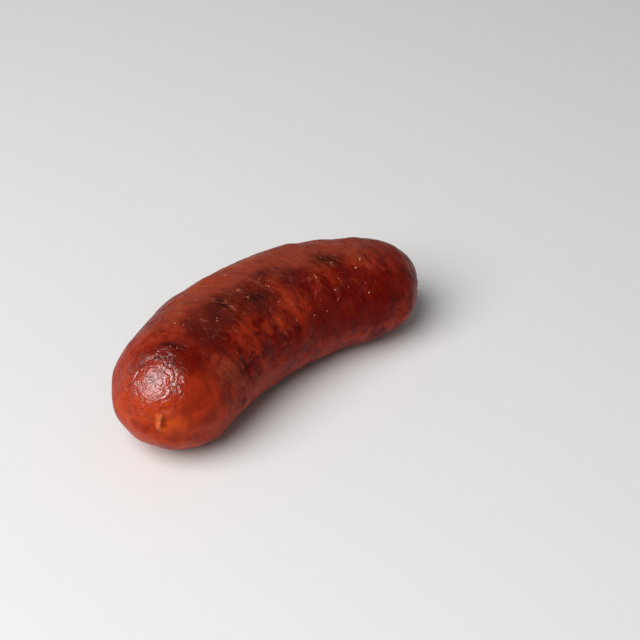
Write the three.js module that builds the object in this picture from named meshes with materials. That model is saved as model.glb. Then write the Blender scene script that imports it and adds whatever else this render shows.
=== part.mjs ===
// One whole sausage link, browned in the pan: coarse paprika meat packed in a single natural casing.
// The casing bends into a crescent, closes in a gathered pucker at each end, and rests on a flat underside.
// Millimetres, +Z up. The origin lies on the resting plane, under the middle of the outline box.
// X runs along the chord from the blunt end to the tapered end, and the crescent bulges towards +Y.
import * as THREE from "three";
import { ImprovedNoise } from "three/addons/math/ImprovedNoise.js";

// Driving dimensions
const LENGTH = 109.2; // along the bend, tip to tip
const DIAMETER = 36.6; // across the casing at mid length
const BEND = THREE.MathUtils.degToRad(74.3); // turn of the axis from tip to tip
const TAPER = 0.141; // share of the diameter lost from the blunt end to the tapered end
const OVAL = 0.977; // height of the section over its width, as the meat settles
const SINK = 0.9; // how far the round underside is pressed flat against the resting plane
const TIP_DROOP = 1.7; // how far the axis drops at the tips
const BLUNT_CAP = { depth: 21.3, power: 1.89 }; // rounding of the thick end
const TAPERED_CAP = { depth: 34.4, power: 2.66 }; // rounding of the slim end
const REST_BLEND = 0.35; // half height of the soft edge round the flat underside

// Swells and waists of the stuffing: share of the radius, waves along the link, and phase in turns
const SWELLS = [
  { share: 0.0109, waves: 1, phase: 0.479 },
  { share: 0.0145, waves: 2, phase: -0.031 },
  { share: 0.0123, waves: 3, phase: -0.032 },
];

// Hollows and bulges of the casing: place along the axis, angle round it from the outer side over the top,
// reach along it and across it, and height
const DENTS = [
  { at: 2.5, angle: 100, reach: 6, across: 8, height: 0.8 }, // the full front of the blunt dome
  { at: 13, angle: 52, reach: 5, across: 8, height: -0.5 }, // a flat pressed into the shoulder
  { at: 6, angle: -65, reach: 7, across: 9, height: -0.5 },
  { at: 9, angle: -12, reach: 9, across: 10, height: 0.3 },
  { at: 18.5, angle: 150, reach: 4.5, across: 15, height: -1.0 }, // the valley behind the blunt dome
  { at: 32, angle: 125, reach: 7, across: 10, height: 0.45 },
  { at: 41, angle: 100, reach: 5, across: 9, height: -0.5 },
  { at: 50, angle: 105, reach: 6, across: 8, height: 0.5 },
  { at: 53, angle: -155, reach: 8, across: 12, height: 0.45 },
  { at: 68, angle: 150, reach: 7, across: 10, height: -0.5 },
  { at: 75, angle: -155, reach: 8, across: 12, height: -0.4 },
  { at: 79, angle: 115, reach: 9, across: 8, height: 0.4 },
  { at: 70, angle: 20, reach: 10, across: 9, height: -0.3 },
];

// Folds that cross the inner side, where the bend leaves the casing slack
const FOLD_COUNT = 11;
const FOLD_START = 27;
const FOLD_PITCH = 6.1;
const FOLD_SHIFT = 2.4; // how far a fold may leave its even place
const FOLD_DEPTH = 0.55; // of the deepest fold
const FOLD_SHALLOW = 0.4; // depth of the shallowest over the deepest
const FOLD_WIDTH = 1.25;
const FOLD_MIDDLE = 150; // angle round the section at the middle of a fold
const FOLD_SCATTER = 30; // how far that angle varies from fold to fold
const FOLD_ARC = 38; // angle over which a fold fades out
const FOLD_SLANT = 2.2; // how far a fold leans along the axis over its arc

// Lumps of coarse meat under the casing
const LUMP_SIZE = 6.5;
const LUMP_HEIGHT = 0.42;

// The gathered end of the casing: a dimple with a ring of folds running in, round an upright twisted nub
const DIMPLE = { width: 3.2, depth: 0.9 };
const NUB = { width: 0.9, tall: 2.4, height: 1.3 };
const GATHER = { folds: 7, height: 0.24, swirl: 0.5 }; // swirl turns the folds as they run out, per millimetre
const BLUNT_PUCKER = { side: -2.1, rise: 3.4 }; // offset of the pucker from the tip, outwards and upwards
const TAPERED_PUCKER = { side: 0.6, rise: -0.8 };

// Fineness of the faceted surface
const SIDES = 70;
const ROWS = 66;
const PROFILE_STEPS = 2400;
const TIP_CROWDING = 0.62; // 0 spaces the rows evenly, 1 crowds them fully at the tips

const RADIUS = DIAMETER / 2;
const TURN = 2 * Math.PI;
const noise = new ImprovedNoise();

// An even spread of numbers between 0 and 1 with no visible order
function jitter(index) {
  const value = Math.sin(index * 12.9898 + 4.1) * 43758.5453;
  return value - Math.floor(value);
}

// Radius of the stuffed body at a place along the axis, before its ends are rounded
function bodyRadius(along) {
  const place = along / LENGTH;
  let size = 1 - TAPER * (place - 0.5);
  for (const { share, waves, phase } of SWELLS) size += share * Math.cos(TURN * (waves * place - phase));
  return RADIUS * size;
}

// Share of the body's radius that an end cap leaves at a distance from its tip
function capShare(cap, fromTip) {
  if (fromTip >= cap.depth) return 1;
  const inwards = Math.min(1, 1 - fromTip / cap.depth);
  return (1 - inwards ** cap.power) ** (1 / cap.power);
}

// Radius of the closed casing at a place along the axis
function casingRadius(along) {
  return bodyRadius(along) * capShare(BLUNT_CAP, along) * capShare(TAPERED_CAP, LENGTH - along);
}

// The outline from tip to tip as points (radius, along), close together at the tips
function outlineRows() {
  const fine = [];
  for (let step = 0; step <= PROFILE_STEPS; step++) {
    const along = (LENGTH / 2) * (1 - Math.cos((Math.PI * step) / PROFILE_STEPS));
    fine.push(new THREE.Vector2(casingRadius(along), along));
  }
  const run = [0];
  for (let step = 1; step <= PROFILE_STEPS; step++) {
    run.push(run[step - 1] + fine[step].distanceTo(fine[step - 1]));
  }
  const rows = [];
  let step = 0;
  for (let row = 0; row <= ROWS; row++) {
    const even = row / ROWS;
    const wanted = run[PROFILE_STEPS] * (even - (TIP_CROWDING * Math.sin(TURN * even)) / TURN);
    while (step < PROFILE_STEPS - 1 && run[step + 1] < wanted) step++;
    const between = THREE.MathUtils.clamp((wanted - run[step]) / (run[step + 1] - run[step]), 0, 1);
    rows.push(fine[step].clone().lerp(fine[step + 1], between));
  }
  rows[0].set(0, 0);
  rows[ROWS].set(0, LENGTH);
  return rows;
}

// Outward direction of each row as (outwards, along)
function rowNormals(rows) {
  return rows.map((row, i) => {
    if (i === 0) return new THREE.Vector2(0, -1);
    if (i === ROWS) return new THREE.Vector2(0, 1);
    const way = rows[i + 1].clone().sub(rows[i - 1]).normalize();
    return new THREE.Vector2(way.y, -way.x);
  });
}

// Middle of a pucker, in the straight casing
function puckerCentre(offset, along) {
  return new THREE.Vector3(offset.side, offset.rise, along);
}

const PUCKERS = [puckerCentre(BLUNT_PUCKER, 0), puckerCentre(TAPERED_PUCKER, LENGTH)];

// Height of the gathered casing round a pucker
function puckerHeight(point, centre) {
  const side = point.x - centre.x;
  const rise = point.y - centre.y;
  const away = Math.hypot(side, rise);
  if (Math.abs(point.z - centre.z) > LENGTH / 2) return 0;
  const dimple = -DIMPLE.depth * Math.exp(-((away / DIMPLE.width) ** 2));
  const nub = NUB.height * Math.exp(-((side / NUB.width) ** 2) - (rise / NUB.tall) ** 2);
  const ring = (away / DIMPLE.width) ** 2 * Math.exp(1 - (away / DIMPLE.width) ** 2);
  const fold = Math.cos(GATHER.folds * Math.atan2(rise, side) + GATHER.swirl * away);
  return dimple + nub + GATHER.height * ring * fold;
}

// Signed difference between two angles in degrees, from -180 to 180
function turnBetween(angle, other) {
  return THREE.MathUtils.euclideanModulo(angle - other + 180, 360) - 180;
}

// Height of one dent at a point on the straight casing
function dentHeight(dent, point) {
  const turned = THREE.MathUtils.degToRad(dent.angle);
  const radius = casingRadius(dent.at);
  const across = Math.hypot(point.x - radius * Math.cos(turned), point.y - radius * Math.sin(turned));
  return dent.height * Math.exp(-(((point.z - dent.at) / dent.reach) ** 2) - (across / dent.across) ** 2);
}

// Height of one fold: it crosses the inner side, leans a little, and fades out at both ends
function foldHeight(fold, angle, along) {
  const middle = FOLD_MIDDLE + FOLD_SCATTER * (jitter(3 * fold) - 0.5);
  const off = turnBetween(angle, middle) / FOLD_ARC;
  const place = FOLD_START + FOLD_PITCH * fold + FOLD_SHIFT * (jitter(3 * fold + 1) - 0.5) + FOLD_SLANT * off;
  const depth = FOLD_DEPTH * THREE.MathUtils.lerp(FOLD_SHALLOW, 1, jitter(3 * fold + 2));
  return -depth * Math.exp(-(((along - place) / FOLD_WIDTH) ** 2) - off ** 2);
}

// Relief of the casing over its even form. The point is (outer side, up, along) in the straight casing.
function relief(point) {
  const angle = THREE.MathUtils.radToDeg(Math.atan2(point.y, point.x));
  let height = LUMP_HEIGHT * noise.noise(point.x / LUMP_SIZE, point.y / LUMP_SIZE, point.z / LUMP_SIZE);
  for (const dent of DENTS) height += dentHeight(dent, point);
  for (let fold = 0; fold < FOLD_COUNT; fold++) height += foldHeight(fold, angle, point.z);
  for (const centre of PUCKERS) height += puckerHeight(point, centre);
  return height;
}

// The axis of the bent link: its place and heading at each row
function bentAxis(rows) {
  const heading = (along) => BEND * (0.5 - along / LENGTH);
  const radius = LENGTH / BEND;
  return rows.map((row) => {
    const turned = heading(row.y);
    return {
      x: -radius * Math.sin(turned),
      y: radius * Math.cos(turned),
      z: OVAL * bodyRadius(row.y) - SINK - TIP_DROOP * ((2 * row.y) / LENGTH - 1) ** 4,
      outer: new THREE.Vector2(-Math.sin(turned), Math.cos(turned)),
      forward: new THREE.Vector2(Math.cos(turned), Math.sin(turned)),
    };
  });
}

// Height over the resting plane: flat where the link presses on it, with a soft edge
function settled(height) {
  if (height >= REST_BLEND) return height;
  if (height <= -REST_BLEND) return 0;
  return (height + REST_BLEND) ** 2 / (4 * REST_BLEND);
}

// The casing with its stuffing, as one solid: turned straight, given its relief, then bent and set down
function linkGeometry() {
  const rows = outlineRows();
  const normals = rowNormals(rows);
  const geometry = new THREE.LatheGeometry(rows, SIDES);
  const axis = bentAxis(rows);
  const place = geometry.getAttribute("position");
  const straight = new THREE.Vector3();
  for (let i = 0; i < place.count; i++) {
    const row = i % rows.length;
    const turned = (TURN * (Math.floor(i / rows.length) % SIDES)) / SIDES;
    const side = Math.cos(turned);
    const up = Math.sin(turned);
    const { x: across, y: along } = rows[row];
    straight.set(across * side, across * up, along);
    const height = relief(straight);
    const out = across + height * normals[row].x;
    const forward = height * normals[row].y;
    const at = axis[row];
    place.setXYZ(
      i,
      at.x + at.outer.x * out * side + at.forward.x * forward,
      at.y + at.outer.y * out * side + at.forward.y * forward,
      settled(at.z + OVAL * out * up),
    );
  }
  geometry.computeBoundingBox();
  const middle = geometry.boundingBox.getCenter(new THREE.Vector3());
  geometry.translate(-middle.x, -middle.y, 0);
  geometry.computeVertexNormals();
  return geometry;
}

const casing = new THREE.MeshStandardMaterial({ color: 0x8a2a17, roughness: 0.32, metalness: 0 });
const link = new THREE.Mesh(linkGeometry(), casing);
link.name = "sausage_link";

const part = new THREE.Group();
part.add(link);

export default part;
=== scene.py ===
import math
import bmesh
import bpy
from mathutils import Matrix, Vector, noise


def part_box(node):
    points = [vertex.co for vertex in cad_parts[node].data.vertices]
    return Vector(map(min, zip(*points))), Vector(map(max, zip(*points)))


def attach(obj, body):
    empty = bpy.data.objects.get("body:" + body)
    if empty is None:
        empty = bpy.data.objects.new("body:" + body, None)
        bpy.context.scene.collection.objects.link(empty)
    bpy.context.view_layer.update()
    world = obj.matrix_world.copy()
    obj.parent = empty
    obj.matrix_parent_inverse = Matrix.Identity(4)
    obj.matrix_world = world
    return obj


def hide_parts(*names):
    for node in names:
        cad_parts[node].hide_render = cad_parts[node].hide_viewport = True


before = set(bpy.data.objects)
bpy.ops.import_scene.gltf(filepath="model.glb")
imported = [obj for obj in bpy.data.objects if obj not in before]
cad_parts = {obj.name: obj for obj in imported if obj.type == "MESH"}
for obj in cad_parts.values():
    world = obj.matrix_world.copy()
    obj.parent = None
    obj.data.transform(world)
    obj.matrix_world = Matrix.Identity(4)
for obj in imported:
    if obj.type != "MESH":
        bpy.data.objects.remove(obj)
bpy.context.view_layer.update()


# The camera looks down on the link from its blunt end, through a long lens.
# The frame is square and holds the link left of its middle.
MM = 0.001
VIEW_AZIMUTH = math.radians(-41.7)
VIEW_ELEVATION = math.radians(40)
VIEW_DISTANCE = 516.5 * MM
VIEW_ANGLE = math.radians(22)
VIEW_TARGET = Vector((28.7, 6.2, 0)) * MM  # the place on the floor at the middle of the frame
NEAREST_SEEN = 10 * MM


def towards(azimuth, elevation):
    """Direction to a place at an azimuth, turned from -Y towards +X, and an elevation over the floor."""
    level = math.cos(elevation)
    return Vector((math.sin(azimuth) * level, -math.cos(azimuth) * level, math.sin(elevation)))


def aim(thing, azimuth, elevation, distance, target):
    """Puts a camera or a light at a distance from its target and turns it to face it."""
    back = towards(azimuth, elevation)
    thing.location = target + distance * back
    thing.rotation_euler = (-back).to_track_quat("-Z", "Y").to_euler()
    bpy.context.scene.collection.objects.link(thing)


camera = bpy.data.objects.new("camera", bpy.data.cameras.new("camera"))
camera.data.angle = VIEW_ANGLE
camera.data.clip_start = NEAREST_SEEN
aim(camera, VIEW_AZIMUTH, VIEW_ELEVATION, VIEW_DISTANCE, VIEW_TARGET)
bpy.context.scene.camera = camera
bpy.context.scene.view_settings.view_transform = "Standard"


# The floor is a plain pale sheet with a faint satin finish, a hair's breadth under the resting plane.
# It reaches far enough to fill every view and to mirror softly in the casing.
FLOOR_REACH = 3000 * MM
FLOOR_GAP = 0.05 * MM
FLOOR_PALE = (232, 231, 230)
FLOOR_ROUGHNESS = 0.55


def linear(red, green, blue):
    """A screen colour from 0 to 255 as the linear colour that a shader reads."""
    shares = [value / 255 for value in (red, green, blue)]
    return [s / 12.92 if s <= 0.04045 else ((s + 0.055) / 1.055) ** 2.4 for s in shares] + [1]


class Wire:
    """A socket in a node tree. Sums and products of wires add Math nodes, and node() adds any other."""

    def __init__(self, tree, socket=None):
        self.tree = tree
        self.socket = socket

    def node(self, kind, settings=None, inputs=None, output=0):
        """Adds a node, sets it up, then fills or links its inputs. Gives the wire of one output."""
        made = self.tree.nodes.new(kind)
        for name, value in (settings or {}).items():
            setattr(made, name, value)
        for name, value in (inputs or {}).items():
            if isinstance(value, Wire):
                self.tree.links.new(value.socket, made.inputs[name])
            else:
                made.inputs[name].default_value = value
        return Wire(self.tree, made.outputs[output]) if made.outputs else None

    def math(self, operation, *values):
        """Adds a Math node that reads its values, which are wires or numbers."""
        return self.node("ShaderNodeMath", {"operation": operation}, dict(enumerate(values)))

    def __add__(self, other):
        return self.math("ADD", self, other)

    def __sub__(self, other):
        return self.math("SUBTRACT", self, other)

    def __mul__(self, other):
        return self.math("MULTIPLY", self, other)

    def __truediv__(self, other):
        return self.math("DIVIDE", self, other)

    def __radd__(self, other):
        return self.math("ADD", other, self)

    def __rsub__(self, other):
        return self.math("SUBTRACT", other, self)

    def __rmul__(self, other):
        return self.math("MULTIPLY", other, self)

    def step(self, low, high):
        """Rises smoothly from 0 where this wire is low to 1 where it is high."""
        settings = {"interpolation_type": "SMOOTHSTEP"}
        limits = {"From Min": low, "From Max": high}
        return self.node("ShaderNodeMapRange", settings, {"Value": self} | limits)

    def mix(self, first, second):
        """Blends two colours, all first where this wire is 0 and all second where it is 1."""
        settings = {"data_type": "RGBA"}
        return self.node("ShaderNodeMix", settings, {0: self, 6: first, 7: second}, output=2)

    def stretch(self, scale):
        """This vector, multiplied along each axis."""
        return self.node("ShaderNodeVectorMath", {"operation": "MULTIPLY"}, {0: self, 1: scale})

    def cloud(self, size, detail=2, roughness=0.5, distortion=0):
        """Noise from 0 to 1 that reads this vector as its place, with its largest shapes near a size."""
        values = {"Vector": self, "Scale": 1 / size, "Detail": detail}
        values |= {"Roughness": roughness, "Distortion": distortion}
        return self.node("ShaderNodeTexNoise", {}, values)

    def bump(self, distance):
        """Shading normal of a surface that rises by the distance where this wire is 1."""
        return self.node("ShaderNodeBump", {}, {"Height": self, "Distance": distance})


def new_material(name):
    """An empty material, with a wire that adds its nodes."""
    material = bpy.data.materials.new(name)
    material.use_nodes = True
    material.node_tree.nodes.clear()
    return material, Wire(material.node_tree)


def new_piece(name, mesh, material):
    """Makes an object of a bmesh, smooth shaded, with its place in its mesh."""
    piece = bpy.data.objects.new(name, bpy.data.meshes.new(name))
    for face in mesh.faces:
        face.smooth = True
    mesh.to_mesh(piece.data)
    mesh.free()
    piece.data.materials.append(material)
    bpy.context.scene.collection.objects.link(piece)
    return piece


material, wire = new_material("floor")
looks = {"Base Color": linear(*FLOOR_PALE), "Roughness": FLOOR_ROUGHNESS}
surface = wire.node("ShaderNodeBsdfPrincipled", {}, looks)
wire.node("ShaderNodeOutputMaterial", {}, {"Surface": surface})
mesh = bmesh.new()
bmesh.ops.create_grid(mesh, x_segments=1, y_segments=1, size=FLOOR_REACH)
bmesh.ops.translate(mesh, verts=mesh.verts, vec=(0, 0, -FLOOR_GAP))
new_piece("floor", mesh, material)


# One big round softbox hangs over the blunt end, to the left of the camera.
# The room is bright at the horizon and dim overhead, so the casing mirrors little but the softbox.
SOFTBOX_AZIMUTH = VIEW_AZIMUTH - math.radians(44)
SOFTBOX_ELEVATION = math.radians(52)
SOFTBOX_DISTANCE = 1000 * MM
SOFTBOX_WIDTH = 920 * MM
SOFTBOX_POWER = 12.5
HORIZON_GREY = 0.38
OVERHEAD_GREY = 0.2
HORIZON_TOP = 0.35  # sine of the elevation at which the overhead grey begins

softbox = bpy.data.objects.new("softbox", bpy.data.lights.new("softbox", "AREA"))
softbox.data.shape = "DISK"
softbox.data.size = SOFTBOX_WIDTH
softbox.data.energy = SOFTBOX_POWER
aim(softbox, SOFTBOX_AZIMUTH, SOFTBOX_ELEVATION, SOFTBOX_DISTANCE, Vector((0, 0, 0)))

room = bpy.data.worlds.new("room")
room.use_nodes = True
room.node_tree.nodes.clear()
bpy.context.scene.world = room
wire = Wire(room.node_tree)
looking = wire.node("ShaderNodeTexCoord", output=0)
height = wire.node("ShaderNodeSeparateXYZ", {}, {"Vector": looking}, output=2)
overhead = height.step(0, HORIZON_TOP)
light = overhead * (OVERHEAD_GREY - HORIZON_GREY) + HORIZON_GREY
sky = wire.node("ShaderNodeBackground", {}, {"Strength": light})
wire.node("ShaderNodeOutputWorld", {}, {"Surface": sky})


# The link is coarse paprika meat in one natural casing, browned in the pan and glossy with its own fat.
# The casing is turned straight and gets its lumps, folds, puckers and wrinkles.
# Then it is bent and set down on its flat underside.
LENGTH = 109.2 * MM
RADIUS = 18.3 * MM
BEND = math.radians(74.3)
TAPER = 0.141
OVAL = 0.977
SINK = 0.9 * MM
TIP_DROOP = 1.7 * MM
REST_BLEND = 0.35 * MM
BLUNT_CAP = (21.3 * MM, 1.89)  # depth and power of the rounding
TAPERED_CAP = (34.4 * MM, 2.66)
SWELLS = ((0.0109, 1, 0.479), (0.0145, 2, -0.031), (0.0123, 3, -0.032))  # share, waves and phase
SIDES = 256
ROWS = 368
PROFILE_STEPS = 6000
TIP_CROWDING = 0.3
MERGE_DISTANCE = 0.001 * MM
TURN = 2 * math.pi


def body_radius(along):
    """Radius of the stuffed body, before its ends are rounded."""
    place = along / LENGTH
    swells = sum(share * math.cos(TURN * (waves * place - phase)) for share, waves, phase in SWELLS)
    return RADIUS * (1 - TAPER * (place - 0.5) + swells)


def cap_share(cap, from_tip):
    """Share of the body's radius that an end cap leaves at a distance from its tip."""
    depth, power = cap
    inwards = min(1, max(0, 1 - from_tip / depth))
    return (1 - inwards**power) ** (1 / power)


def casing_outline():
    """The straight casing's outline as (radius, along), in even steps that crowd a little at the tips."""
    fine = []
    for step in range(PROFILE_STEPS + 1):
        along = LENGTH / 2 * (1 - math.cos(math.pi * step / PROFILE_STEPS))
        radius = body_radius(along) * cap_share(BLUNT_CAP, along) * cap_share(TAPERED_CAP, LENGTH - along)
        fine.append(Vector((radius, along)))
    run = [0]
    for before, after in zip(fine, fine[1:]):
        run.append(run[-1] + (after - before).length)
    rows = []
    step = 0
    for row in range(ROWS + 1):
        even = row / ROWS
        wanted = run[-1] * (even - TIP_CROWDING * math.sin(TURN * even) / TURN)
        while step < PROFILE_STEPS - 1 and run[step + 1] < wanted:
            step += 1
        between = (wanted - run[step]) / (run[step + 1] - run[step])
        rows.append(fine[step].lerp(fine[step + 1], between))
    rows[0].x = 0
    rows[-1].x = 0
    return rows


casing = bmesh.new()
corners = [casing.verts.new((row.x, 0, row.y)) for row in casing_outline()]
for first, second in zip(corners, corners[1:]):
    casing.edges.new((first, second))
bmesh.ops.spin(
    casing, geom=casing.verts[:] + casing.edges[:], cent=(0, 0, 0), axis=(0, 0, 1), angle=TURN,
    steps=SIDES, use_merge=True,
)
bmesh.ops.remove_doubles(casing, verts=casing.verts, dist=MERGE_DISTANCE)
bmesh.ops.recalc_face_normals(casing, faces=casing.faces)

# Relief of the casing over its even form. Angles run round the section from the outer side of the bend
# over the top, in degrees. A dent or patch is (along, angle, reach along, reach across, height).
DENTS = (
    (2.5, 100, 6, 8, 0.8),
    (13, 52, 5, 8, -0.5),
    (6, -65, 7, 9, -0.5),
    (9, -12, 9, 10, 0.3),
    (18.5, 150, 4.5, 15, -1.0),
    (32, 125, 7, 10, 0.45),
    (41, 100, 5, 9, -0.5),
    (50, 105, 6, 8, 0.5),
    (53, -155, 8, 12, 0.45),
    (68, 150, 7, 10, -0.5),
    (75, -155, 8, 12, -0.4),
    (79, 115, 9, 8, 0.4),
    (70, 20, 10, 9, -0.3),
    (30, 158, 0.9, 4.5, -0.6),
    (39.2, 99, 1.1, 3, -0.45),
    (0.55, 152, 1.5, 0.8, -0.4),
    (0.8, 137, 1.5, 0.9, -0.5),
    (1.1, 128, 1.5, 0.8, -0.35),
)
FOLD_COUNT = 11
FOLD_START = 27 * MM
FOLD_PITCH = 6.1 * MM
FOLD_SHIFT = 2.4 * MM
FOLD_DEPTH = 0.55 * MM
FOLD_SHALLOW = 0.4
FOLD_WIDTH = 1.25 * MM
FOLD_MIDDLE = 150
FOLD_SCATTER = 30
FOLD_ARC = 38
FOLD_SLANT = 2.2 * MM
DIMPLE_WIDTH = 3.2 * MM
DIMPLE_DEPTH = 0.9 * MM
NUB_SIZE = (0.95 * MM, 2.7 * MM)  # half width and half height of the twisted nub
NUB_HEIGHT = 1.3 * MM
NUB_KNOT = 1.3 * MM  # size of the knots along the nub
NUB_FILL = 0.85  # height of the nub between its knots, as a share
NUB_KNOTTING = 0.5  # share that the knots add or take
GATHER_FOLDS = 7
GATHER_HEIGHT = 0.13 * MM
GATHER_SWIRL = 0.5 / MM
PUCKERS = (Vector((-2.1, 3.4, 0)) * MM, Vector((0.6, -0.8, LENGTH / MM)) * MM)
LUMPS = ((6.5 * MM, 0.42 * MM), (3.1 * MM, 0.2 * MM))  # size and height of coarse and fine meat
CREASE_SIZE = Vector((4.5, 4.5, 1.6)) * MM  # long across the link, short along it
CREASE_DEPTH = 0.16 * MM
CREASE_LEAN = 0.6  # how far the creases slant on top of the link, towards the tapered end
CREASE_PATCH = 7 * MM  # size of the patches in which the creases are deep
CREASE_START = 14 * MM  # from the blunt tip, whose dome has none
PATCH_END = 3  # reaches from its middle at which a dent or patch has faded out
JITTER_WAVES = 12.9898  # this and the next two are arbitrary, uneven enough that no order shows
JITTER_START = 4.1
JITTER_SPREAD = 43758.5453


def jitter(index):
    """An even spread of numbers from 0 to 1 with no visible order."""
    value = math.sin(index * JITTER_WAVES + JITTER_START) * JITTER_SPREAD
    return value - math.floor(value)


def turn_between(angle, other):
    """Turn from the other angle to this one, the short way round, in degrees."""
    return (angle - other + 180) % 360 - 180


def even_place(along, angle):
    """Place on the straight casing, at a distance along it and an angle in degrees round it.

    It leaves out the casing's relief and its tapered cap.
    """
    radius = body_radius(along) * cap_share(BLUNT_CAP, along)
    turned = math.radians(angle)
    return Vector((radius * math.cos(turned), radius * math.sin(turned), along))


def patch_height(patch, place):
    """Height of one dent or colour patch at a place on the straight casing."""
    at, angle, reach, across, height = patch
    away = (place.z / MM - at) / reach
    if abs(away) > PATCH_END:
        return 0
    middle = even_place(at * MM, angle)
    off = math.hypot(place.x - middle.x, place.y - middle.y) / MM / across
    return height * math.exp(-(away**2) - off**2)


def fold_height(fold, angle, along):
    """Height of one fold across the inner side."""
    middle = FOLD_MIDDLE + FOLD_SCATTER * (jitter(3 * fold) - 0.5)
    off = turn_between(angle, middle) / FOLD_ARC
    place = FOLD_START + FOLD_PITCH * fold + FOLD_SHIFT * (jitter(3 * fold + 1) - 0.5) + FOLD_SLANT * off
    depth = FOLD_DEPTH * (FOLD_SHALLOW + (1 - FOLD_SHALLOW) * jitter(3 * fold + 2))
    return -depth * math.exp(-(((along - place) / FOLD_WIDTH) ** 2) - off**2)


def nub_share(place, centre):
    """How much a place belongs to the twisted nub of a pucker, 1 on its middle."""
    if abs(place.z - centre.z) > LENGTH / 2:
        return 0
    knots = noise.noise(place / NUB_KNOT)
    side = (place.x - centre.x) / NUB_SIZE[0] + knots
    rise = (place.y - centre.y) / NUB_SIZE[1]
    return math.exp(-(side**2) - rise**4) * (NUB_FILL + NUB_KNOTTING * knots)


def pucker_height(place, centre):
    """Height of the gathered casing round a pucker: a dimple, its nub, and a ring of folds."""
    if abs(place.z - centre.z) > LENGTH / 2:
        return 0
    side = place.x - centre.x
    rise = place.y - centre.y
    away = math.hypot(side, rise) / DIMPLE_WIDTH
    dimple = -DIMPLE_DEPTH * math.exp(-(away**2))
    ring = away**2 * math.exp(1 - away**2)
    fold = math.cos(GATHER_FOLDS * math.atan2(rise, side) + GATHER_SWIRL * away * DIMPLE_WIDTH)
    return dimple + NUB_HEIGHT * nub_share(place, centre) + GATHER_HEIGHT * ring * fold


def crease_height(place):
    """Height of the fine creases that cross the link."""
    leaning = place + Vector((0, 0, CREASE_LEAN * place.x))
    stretched = Vector(a / b for a, b in zip(leaning, CREASE_SIZE))
    ridge = 1 - 2 * abs(noise.noise(stretched))
    patchy = 0.5 + 0.5 * noise.noise(place / CREASE_PATCH)
    body = 1 - math.exp(-((place.z / CREASE_START) ** 4))
    return CREASE_DEPTH * ridge * patchy * body


def relief(place):
    """Height of the casing over its even form, at a place on the straight casing.

    The place's axes point to the outer side of the bend, up, and along the link.
    """
    angle = math.degrees(math.atan2(place.y, place.x))
    height = sum(patch_height(dent, place) for dent in DENTS) * MM
    height += sum(fold_height(fold, angle, place.z) for fold in range(FOLD_COUNT))
    height += sum(pucker_height(place, centre) for centre in PUCKERS)
    height += sum(tall * noise.noise(place / size) for size, tall in LUMPS)
    return height + crease_height(place)


# Colour patches of the casing, in the form of the dents: where the pan charred and scorched it, where
# deep red meat shows through, where the fat keeps it orange, and where a rougher skin is dull. Some are
# painted light: painted shade in creases, in the cleft by the nub, on the far end and along the lower
# near side, and a painted sheen on the dull patches.
CHAR = (
    (16.5, 88, 1.2, 3.5, 0.8),
    (17.6, 103, 1, 3.5, 0.4),
    (32, 106, 3, 2.5, 0.5),
    (36, 102, 3.5, 2.5, 0.4),
    (39, 97, 3, 2, 0.4),
    (47, 112, 3, 2.5, 0.85),
    (51, 117, 2.5, 2, 0.6),
    (57, 94, 4, 2, 0.55),
    (61, 96, 3, 2, 0.3),
    (77, 101, 4, 2, 0.65),
    (82, 104, 3, 2, 0.4),
    # These two darken creases that the dents cut: painted shade.
    (30, 158, 0.8, 3.5, 0.7),
    (39.2, 99, 1.0, 3, 0.8),
)
SCORCH = (
    (16.5, 92, 2.5, 6, 0.8),
    (27, 106, 4.5, 7, 0.95),
    (33, 103, 8, 6, 1.1),
    (41, 106, 7, 6, 0.9),
    (48, 112, 6, 6, 1.1),
    (53, 119, 4, 4, 0.8),
    (57, 95, 5, 4, 0.8),
    (64, 108, 5, 5, 0.6),
    (78, 102, 8, 4, 0.9),
    (62, 120, 6, 5, 0.4),
    # These three darken the cleft beside the nub of the blunt end: painted shade.
    (0.55, 150, 1.5, 0.6, 0.5),
    (0.8, 136, 1.5, 0.6, 0.75),
    (1.1, 128, 1.5, 0.6, 0.5),
)
# Deep red meat that shows through, with painted shade: the patches on the far end and along the lower
# near side darken the casing where it lies in shade.
DEEP_AND_SHADE = (
    (5.6, 88, 5, 6, 0.4),
    (12, 62, 4, 6, 0.5),
    (15, 100, 4, 8, 1.0),
    (11.5, 120, 4, 5, 0.35),
    (22, 120, 5, 6, 0.8),
    (30, 118, 6, 6, 0.5),
    (41, 152, 4, 6, 0.45),
    (30, 160, 3, 6, 0.5),
    (58, 168, 12, 6, 0.25),
    (72, 160, 9, 8, 1.1),
    (88, 150, 12, 9, 1.5),
    (103, 95, 4, 13, 0.7),
    (80, 112, 4, 4, 0.5),
    (64, 112, 3, 4, 0.4),
    (50, -172, 22, 6, 0.3),
)
# A rougher skin with a painted sheen: its pale brown stands in for the room's light mirrored softly along
# the top and the lower near side.
DULL_SHEEN = (
    (30, 74, 14, 8, 0.6),
    (44, 88, 5, 4, 1.0),
    (50, 76, 18, 8, 0.9),
    (69, 90, 8, 4, 1.0),
    (75, 75, 20, 9, 0.8),
    (88, 88, 8, 6, 0.2),
    (98, 70, 12, 10, 0.3),
    (22, 150, 6, 8, 0.75),
    (60, 132, 5, 5, 0.4),
    (95, 110, 8, 6, 0.2),
    (14, -160, 8, 6, 0.8),
    (40, -150, 16, 5, 0.6),
)
ORANGE = (
    (5, 25, 6, 7, 0.4),
    (3, -70, 6, 14, 0.3),
    (1.5, 140, 4, 9, 0.42),
    (10, -150, 7, 10, 0.3),
    (74, 54, 3, 2.5, 0.8),
    (57, 60, 9, 4, 0.25),
    (48, 62, 12, 4, 0.25),
    (36, 66, 9, 4, 0.2),
    (51, 142, 7, 5, 0.24),
    (82, 130, 9, 4, 0.2),
    (72, 118, 4, 4, 0.25),
    (20, 128, 3, 4, 0.3),
)

PATCHES = {"char": CHAR, "scorch": SCORCH, "deep_and_shade": DEEP_AND_SHADE, "dull_sheen": DULL_SHEEN, "orange": ORANGE}

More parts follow.
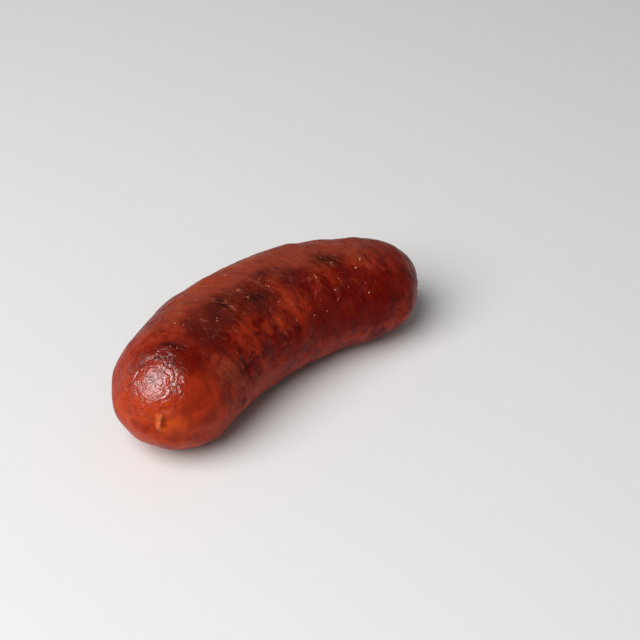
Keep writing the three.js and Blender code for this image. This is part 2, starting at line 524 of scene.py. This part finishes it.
layers = {name: casing.verts.layers.float.new(name) for name in PATCHES}
nub_layer = casing.verts.layers.float.new("nub")
straight_layer = casing.verts.layers.float_vector.new("straight")
for corner in casing.verts:
    place = corner.co.copy()
    corner[straight_layer] = place
    for name, patches in PATCHES.items():
        corner[layers[name]] = sum(patch_height(patch, place) for patch in patches)
    corner[nub_layer] = sum(nub_share(place, centre) for centre in PUCKERS)
    corner[layers["orange"]] += corner[nub_layer]
    corner.co = place + relief(place) * corner.normal


def settled(height):
    """Height over the resting plane: flat where the link presses on it, with a soft edge."""
    if height >= REST_BLEND:
        return height
    if height <= -REST_BLEND:
        return 0
    return (height + REST_BLEND) ** 2 / (4 * REST_BLEND)


def bent(place):
    """Where a place on the straight casing goes when the link is bent and laid down."""
    share = place.z / LENGTH
    turned = BEND * (0.5 - share)
    radius = LENGTH / BEND + place.x
    axis_height = OVAL * body_radius(place.z) - SINK - TIP_DROOP * (2 * share - 1) ** 4
    height = settled(axis_height + OVAL * place.y)
    return Vector((-radius * math.sin(turned), radius * math.cos(turned), height))


for corner in casing.verts:
    corner.co = bent(corner.co)
low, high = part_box("sausage_link")
middle = (low + high) / 2
laid = Vector((0, 0, 0))  # from the bent casing's own place to its place on the floor
for axis in (0, 1):
    places = [corner.co[axis] for corner in casing.verts]
    shift = Vector((0, 0, 0))
    shift[axis] = middle[axis] - (min(places) + max(places)) / 2
    bmesh.ops.translate(casing, verts=casing.verts, vec=shift)
    laid += shift

# The casing's finish: deep red meat shows through it in mottles and short dashes across the link, with
# painted shade in the dashes' hollows.
# Round one glossy spot on the blunt dome the skin is drawn into rings of fine wrinkles, with painted
# shade in their troughs and cracks; the dull patches carry a painted sheen and the pale strands are
# painted glints.
DEEP_RED = (94, 6, 2)
BRICK_RED = (160, 44, 18)
DOME_RED = (168, 50, 22)
# A painted sheen: a pale brown that stands in for mirrored room light.
SHEEN_BROWN = (144, 57, 37)
ORANGE_FAT = (204, 84, 20)
NUB_ORANGE = (204, 88, 26)
FLECK_ORANGE = (178, 74, 44)
SCORCHED = (72, 15, 8)
# Painted glints: the pale strands stand in for light caught by fine ridges on the scorched and dull skin.
STRAND_GLINT_PALE = (172, 90, 64)
CHAR_BROWN = (36, 12, 8)
# Painted shade: the dark red laid in cracks and in the hollows of the dashes.
SHADE_RED = (50, 5, 3)
# Painted shade in the troughs of the wrinkles round the glossy spot.
GROOVE_SHADE_RED = (92, 12, 6)
MOTTLE_SIZE = 11 * MM
BLOTCH_SIZE = 4.5 * MM
VEIL_SIZE = 7 * MM
FLECK_SIZE = 1.5 * MM
GRAIN_SIZE = 0.9 * MM
DASH_SIZE = 2.6 * MM
LINE_SIZE = 1.1 * MM
STRAND_SIZE = 2.2 * MM
DASH_SHAPE = (0.5, 0.5, 1)  # drawn out across the link, as are the lines and strands
LINE_SHAPE = (0.4, 0.4, 1)
STRAND_SHAPE = (0.35, 0.35, 1)
STRAND_WIDTH = 0.03  # share of the noise's whole range, as is the width of the cracks
DOME_REACH = (22 * MM, 9 * MM)  # along the link: where the dome's look ends, and where it is whole
GLOSS_ALONG = 6.3 * MM
GLOSS_ANGLE = 84  # in degrees, round the section
GLOSS_REACH = (10.5 * MM, 6.5 * MM)  # from the glossy spot: where its oil ends, and where it is whole
OILED_RISE = (7 * MM, 13 * MM)  # over the casing's axis: where the oil starts, and where it is whole
WET_RISE = (5 * MM, 14 * MM)
RING_INSIDE = (2.5 * MM, 6.5 * MM)
RING_OUTSIDE = (12.5 * MM, 8.5 * MM)
WRINKLE_PITCH = 1.9 * MM
WRINKLE_SWAY = 3  # pitches by which the rings wander
WANDER_SIZE = 3.4 * MM
BREAK_SIZE = 2.8 * MM
CRACK_SIZE = 3.2 * MM
CRACK_WIDTH = 0.05
WRINKLE_DEPTH = 0.17  # in millimetres, as are the other heights of the bump
CRACK_DEPTH = 0.06
LINE_DEPTH = 0.25
STRAND_HEIGHT = 0.12
DASH_DEPTH = 0.08
GRAIN_DEPTH = 0.12
SKIN_ROUGHNESS = 0.36
DULL_ROUGHER = 0.2
CHAR_ROUGHER = 0.15
OIL_ROUGHNESS = 0.14
SKIN_SHINE = 0.07
OIL_SHINE = 0.9
RIDGE_OIL = 0.45  # share of the oil's shine that each of these has
NUB_OIL = 0.5
WET_OIL = 0.26
CRACK_SHADE = 0.5  # share of the painted shade's dark red that shows in each of these
DASH_SHADE = 0.32
GLOW_SHARE = 0.12  # of the light that goes into the meat and comes out redder
GLOW_REACH = 2 * MM
GLOW_COLOURS = (1, 0.25, 0.12)

material, wire = new_material("casing")
straight = wire.node("ShaderNodeAttribute", {"attribute_name": "straight"}, output=1)
char, scorch, deep_and_shade, dull_sheen, orange, nub = (
    wire.node("ShaderNodeAttribute", {"attribute_name": name}, output=2)
    for name in (*PATCHES, "nub")
)
side, rise, along = (
    wire.node("ShaderNodeSeparateXYZ", {}, {"Vector": straight}, output=axis) for axis in range(3)
)
leaning = wire.node("ShaderNodeCombineXYZ", {}, {"X": side, "Y": rise, "Z": along + CREASE_LEAN * side})

mottle = straight.cloud(MOTTLE_SIZE, detail=3)
blotch = straight.cloud(BLOTCH_SIZE, detail=4, roughness=0.6, distortion=0.5)
veil = straight.cloud(VEIL_SIZE, detail=5, roughness=0.65, distortion=1.5)
grain = straight.cloud(GRAIN_SIZE, detail=3, roughness=0.65)
dash = leaning.stretch(DASH_SHAPE).cloud(DASH_SIZE, detail=3, distortion=1)
line = leaning.stretch(LINE_SHAPE).cloud(LINE_SIZE, distortion=0.8)
strand = leaning.stretch(STRAND_SHAPE).cloud(STRAND_SIZE, detail=1, distortion=0.6)
wander = straight.cloud(WANDER_SIZE)
breaks = straight.cloud(BREAK_SIZE, detail=1)
crack = straight.cloud(CRACK_SIZE, detail=3, distortion=1)
fleck = straight.cloud(FLECK_SIZE, detail=1)

dome = along.step(*DOME_REACH)
body = 1 - dome
ends = {0: straight, 1: even_place(GLOSS_ALONG, GLOSS_ANGLE)}
from_gloss = wire.node("ShaderNodeVectorMath", {"operation": "DISTANCE"}, ends, output=1)
ring = from_gloss.step(*RING_INSIDE) * from_gloss.step(*RING_OUTSIDE) * breaks.step(low=0.34, high=0.55)
wave = wire.math("SINE", (from_gloss / WRINKLE_PITCH + WRINKLE_SWAY * wander) * math.pi)
wrinkle = wire.math("ABSOLUTE", wave)
ridges = wrinkle.step(low=0.5, high=0.95) * ring
# Painted shade: the wrinkles' troughs are darkened where they ring the glossy spot.
trough_shade = wrinkle.step(low=0.45, high=0) * ring
oiled = from_gloss.step(*GLOSS_REACH) * rise.step(*OILED_RISE)
gloss = wire.math("MAXIMUM", oiled + RIDGE_OIL * ridges, NUB_OIL * nub.step(low=0.2, high=0.7))
wet = veil.step(low=0.56, high=0.42) * rise.step(*WET_RISE) * body
cracks = wire.math("ABSOLUTE", crack - 0.5).step(low=CRACK_WIDTH, high=0) * gloss


def frayed(patch, *frays, low, high):
    """A colour patch from 0 to 1, with an edge that is frayed by noises, each given with its share."""
    for fray, share in frays:
        patch = patch + share * (fray - 0.5)
    return patch.step(low, high)


meat = (0.36 * mottle + 0.5 * blotch + 0.14 * dash).step(low=0.4, high=0.6)
# Deep red where meat shows through, and painted shade on the far end and along the lower near side.
depth = frayed(deep_and_shade, (blotch, 0.9), (veil, -0.7), low=0.1, high=0.9)
# The dull patches, painted as a pale brown sheen of mirrored light.
sheen_patch = frayed(dull_sheen, (veil, 1.6), (dash, 0.4), low=0.15, high=0.9)
fat = frayed(orange, (blotch, 1), (grain, 0.5), low=0.1, high=1.1)
smoke = frayed(scorch, (blotch, 1.2), (line, 0.5), low=0.1, high=1.1)
burn = frayed(char, (line, 0.6), (grain, 1), low=0.2, high=1)
# Pale strands over scorched and dull skin, painted as glints of light.
strand_ground = (smoke + 0.6 * dull_sheen).step(low=0.1, high=0.7) * veil.step(low=0.42, high=0.56)
glint_strands = wire.math("ABSOLUTE", strand - 0.5).step(low=STRAND_WIDTH, high=0) * strand_ground
# Painted shade in the cracks of the glossy spot and in the hollows between the dashes.
painted_hollow_shade = CRACK_SHADE * cracks + DASH_SHADE * dash.step(low=0.43, high=0.31) * body
colour = meat.mix(linear(*DEEP_RED), linear(*BRICK_RED))
coats = (  # from the meat outwards: where a coat shows, how strongly, and its colour
    (fleck.step(low=0.64, high=0.76) * body, 0.6, FLECK_ORANGE),
    (dome * (0.55 + 0.35 * meat), 1, DOME_RED),
    (depth, 0.85, DEEP_RED),
    (sheen_patch, 0.8, SHEEN_BROWN),
    (fat, 0.75, ORANGE_FAT),
    (smoke, 0.75, SCORCHED),
    (burn, 0.85, CHAR_BROWN),
    (glint_strands, 0.42, STRAND_GLINT_PALE),
    (nub.step(low=0.15, high=0.6), 0.9, NUB_ORANGE),
    (trough_shade * (0.4 + 0.5 * oiled), 1, GROOVE_SHADE_RED),
    (painted_hollow_shade, 1, SHADE_RED),
)
for shown, strength, paint in coats:
    colour = (strength * shown).mix(colour, linear(*paint))

drawn = WRINKLE_DEPTH * wrinkle * ring - CRACK_DEPTH * cracks
lines = LINE_DEPTH * line * (0.25 + 0.75 * wet)
texture = drawn + lines + STRAND_HEIGHT * glint_strands + DASH_DEPTH * dash + GRAIN_DEPTH * grain
matte = {
    "Base Color": colour,
    "Roughness": SKIN_ROUGHNESS + DULL_ROUGHER * dull_sheen.step(low=0.1, high=0.9) + CHAR_ROUGHER * burn,
    "Specular IOR Level": SKIN_SHINE,
    "Normal": texture.bump(MM),
    "Subsurface Weight": GLOW_SHARE,
    "Subsurface Radius": GLOW_COLOURS,
    "Subsurface Scale": GLOW_REACH,
}
oily = matte | {"Roughness": OIL_ROUGHNESS, "Specular IOR Level": OIL_SHINE}
method = {"subsurface_method": "RANDOM_WALK"}
shells = [wire.node("ShaderNodeBsdfPrincipled", method, looks) for looks in (matte, oily)]
shine = wire.math("MAXIMUM", gloss, WET_OIL * wet)
shell = wire.node("ShaderNodeMixShader", {}, {0: shine, 1: shells[0], 2: shells[1]})
wire.node("ShaderNodeOutputMaterial", {}, {"Surface": shell})
link = new_piece("casing", casing, material)
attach(link, "root")
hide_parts("sausage_link")


# Small beads of fat stand on the casing, most of them along the near side, and all are one piece.
# Each is a short grain, sunk a little into the skin. Their places leave out the tapered cap, so the
# three nearest that end, at 86.9 and 89.2 mm, float 0.1 to 0.5 mm over the skin.
BEAD_PLACES = (  # along in millimetres, and the angle round the section
    (46.2, 99), (46.9, 101), (54.7, 108), (55.4, 110), (54.9, 127), (32.5, 108), (32, 110), (27.4, 90),
    (24.9, 89), (24.6, 81), (35.1, 81), (49, 72), (54.7, 99), (46.4, 110), (79.6, 125), (80.2, 128),
    (77, 135), (77.3, 144), (76.8, 146), (71.6, 153), (66.1, 153), (86.9, 117), (71.6, 117), (72.1, 119),
    (77, 99), (79.6, 107), (89.2, 144), (89.2, 108), (82.1, 135), (12.8, 140), (58.5, 150),
    (16.2, 91), (16.4, 97), (16.8, 110),
)
BEAD_SIZE = (0.07 * MM, 0.2 * MM)  # smallest and largest half width
BEAD_STRETCH = 3.5  # length of the longest bead over its width
BEAD_SUNK = 0.4
BEAD_SEED = 40  # starts the beads' own run of uneven sizes
SPIN_SEED = 7
# The beads' colour is the pale fat's own, lightened further as a painted glint.
BEAD_GLINT_PALE = (218, 130, 96)
BEAD_ROUGHNESS = 0.06

beads = bmesh.new()
for bead, (along_mm, degrees) in enumerate(BEAD_PLACES):
    size = BEAD_SIZE[0] + (BEAD_SIZE[1] - BEAD_SIZE[0]) * jitter(2 * bead + BEAD_SEED)
    skin_place = even_place(along_mm * MM, degrees)
    outwards = Vector((skin_place.x, skin_place.y, 0)).normalized()
    skin_place += (relief(skin_place) - BEAD_SUNK * size) * outwards
    made = bmesh.ops.create_icosphere(beads, subdivisions=2, radius=size)
    stretch = 1 + (BEAD_STRETCH - 1) * jitter(2 * bead + BEAD_SEED + 1)
    bmesh.ops.scale(beads, verts=made["verts"], vec=(stretch, 1, 1))
    spun = Matrix.Rotation(TURN * jitter(3 * bead + SPIN_SEED), 3, "Z")
    upright = bent(skin_place + MM * outwards) - bent(skin_place)
    laid_flat = upright.to_track_quat("Z", "Y").to_matrix()
    bmesh.ops.rotate(beads, verts=made["verts"], matrix=laid_flat @ spun)
    bmesh.ops.translate(beads, verts=made["verts"], vec=bent(skin_place) + laid)
material, wire = new_material("fat_beads")
looks = {"Base Color": linear(*BEAD_GLINT_PALE), "Roughness": BEAD_ROUGHNESS, "Specular IOR Level": 1}
surface = wire.node("ShaderNodeBsdfPrincipled", {}, looks)
wire.node("ShaderNodeOutputMaterial", {}, {"Surface": surface})
fat_beads = new_piece("fat_beads", beads, material)
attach(fat_beads, "root")
